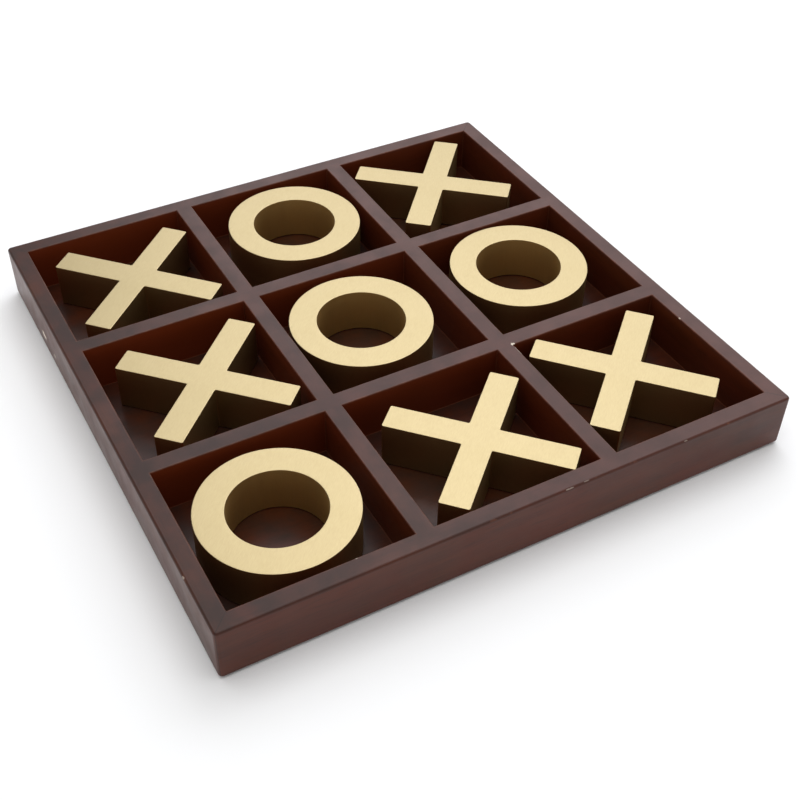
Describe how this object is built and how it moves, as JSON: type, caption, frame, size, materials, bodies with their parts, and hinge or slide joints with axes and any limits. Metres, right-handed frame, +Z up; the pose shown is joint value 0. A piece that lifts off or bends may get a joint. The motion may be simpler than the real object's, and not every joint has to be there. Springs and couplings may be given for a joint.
{
  "type": "tic tac toe set",
  "caption": "Square wooden tray split into cells, with cross and ring playing pieces in metal that lift straight out.",
  "frame": {"origin": "middle of the tray, on the surface its felt pads stand on", "axes": "+X to the right along the front rail, +Y from the front rail to the back rail, +Z up"},
  "size_m": [0.356, 0.356, 0.036],
  "materials": {
    "rail_wood": "dark stained, satin lacquer",
    "divider_wood": "dark stained, satin lacquer",
    "panel_wood": "dark stained, satin lacquer",
    "cross_metal": "brass-tone plated, fine brushed",
    "ring_metal": "brass-tone plated, fine brushed",
    "steel_pins": "bright wire",
    "pad_felt": "pressed felt",
    "dot_felt": "pressed felt"
  },
  "bodies": {
    "tray": {"front_rail": "rail_wood", "back_rail": "rail_wood", "left_rail": "rail_wood", "right_rail": "rail_wood", "base_panel": "panel_wood", "lengthwise_divider_front": "divider_wood", "lengthwise_divider_back": "divider_wood", "crosswise_divider_left": "divider_wood", "crosswise_divider_right": "divider_wood", "corner_pins": "steel_pins", "divider_pins": "steel_pins", "panel_brads": "steel_pins", "tray_pads": "pad_felt"},
    "cross_back_left": {"cross_back_left": "cross_metal", "cross_back_left_felts": "dot_felt"},
    "cross_middle_left": {"cross_middle_left": "cross_metal", "cross_middle_left_felts": "dot_felt"},
    "cross_front_middle": {"cross_front_middle": "cross_metal", "cross_front_middle_felts": "dot_felt"},
    "cross_front_right": {"cross_front_right": "cross_metal", "cross_front_right_felts": "dot_felt"},
    "cross_back_right": {"cross_back_right": "cross_metal", "cross_back_right_felts": "dot_felt"},
    "ring_front_left": {"ring_front_left": "ring_metal", "ring_front_left_felts": "dot_felt"},
    "ring_centre": {"ring_centre": "ring_metal", "ring_centre_felts": "dot_felt"},
    "ring_middle_right": {"ring_middle_right": "ring_metal", "ring_middle_right_felts": "dot_felt"},
    "ring_back_middle": {"ring_back_middle": "ring_metal", "ring_back_middle_felts": "dot_felt"}
  },
  "joints": [
    {"name": "cross_back_left_lift", "type": "slide", "parent": "tray", "child": "cross_back_left", "axis": [0, 0, 1], "range_m": [0, 0.06]},
    {"name": "cross_middle_left_lift", "type": "slide", "parent": "tray", "child": "cross_middle_left", "axis": [0, 0, 1], "range_m": [0, 0.06]},
    {"name": "cross_front_middle_lift", "type": "slide", "parent": "tray", "child": "cross_front_middle", "axis": [0, 0, 1], "range_m": [0, 0.06]},
    {"name": "cross_front_right_lift", "type": "slide", "parent": "tray", "child": "cross_front_right", "axis": [0, 0, 1], "range_m": [0, 0.06]},
    {"name": "cross_back_right_lift", "type": "slide", "parent": "tray", "child": "cross_back_right", "axis": [0, 0, 1], "range_m": [0, 0.06]},
    {"name": "ring_front_left_lift", "type": "slide", "parent": "tray", "child": "ring_front_left", "axis": [0, 0, 1], "range_m": [0, 0.06]},
    {"name": "ring_centre_lift", "type": "slide", "parent": "tray", "child": "ring_centre", "axis": [0, 0, 1], "range_m": [0, 0.06]},
    {"name": "ring_middle_right_lift", "type": "slide", "parent": "tray", "child": "ring_middle_right", "axis": [0, 0, 1], "range_m": [0, 0.06]},
    {"name": "ring_back_middle_lift", "type": "slide", "parent": "tray", "child": "ring_back_middle", "axis": [0, 0, 1], "range_m": [0, 0.06]}
  ]
}
